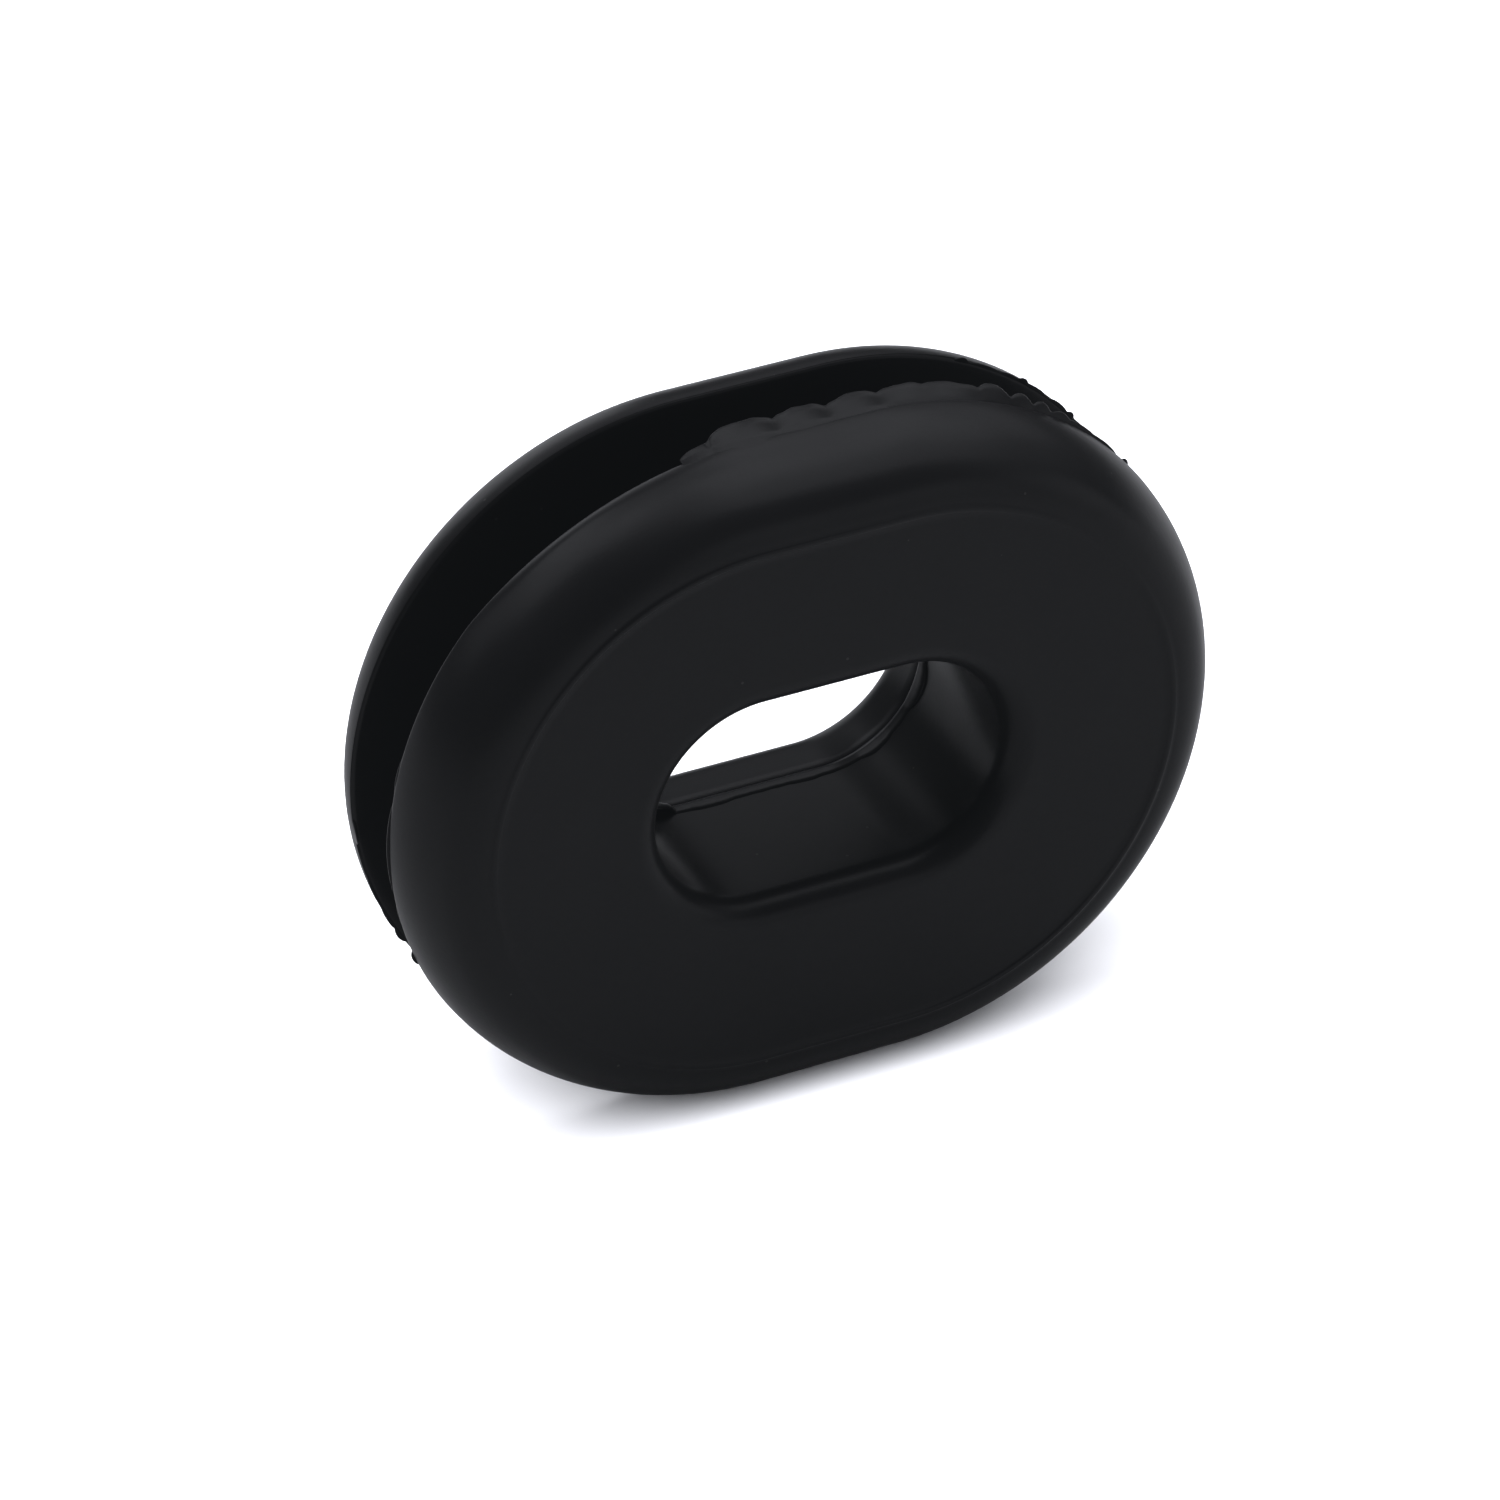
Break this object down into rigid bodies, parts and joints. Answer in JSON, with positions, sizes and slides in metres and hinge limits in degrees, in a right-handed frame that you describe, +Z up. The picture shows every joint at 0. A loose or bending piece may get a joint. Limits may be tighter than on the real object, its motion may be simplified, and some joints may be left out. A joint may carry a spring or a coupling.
{
  "type": "obround rubber grommet",
  "caption": "Black rubber panel grommet: domed obround front flange, panel groove, smaller rear flange, obround bore with rounded lips.",
  "frame": {"origin": "middle of the foot: below the centre of the bore, halfway through the thickness, on the surface that the flanges' straight sides stand on", "axes": "+X along the long axis, +Y along the bore from the domed front flange to the rear flange, +Z up across the straight sides"},
  "size_m": [0.0362, 0.0113, 0.03],
  "materials": {
    "black_rubber": "satin moulded rubber, even and slightly glossy, with fine mould lines"
  },
  "bodies": {
    "root": {"grommet": "black_rubber"}
  },
  "joints": []
}
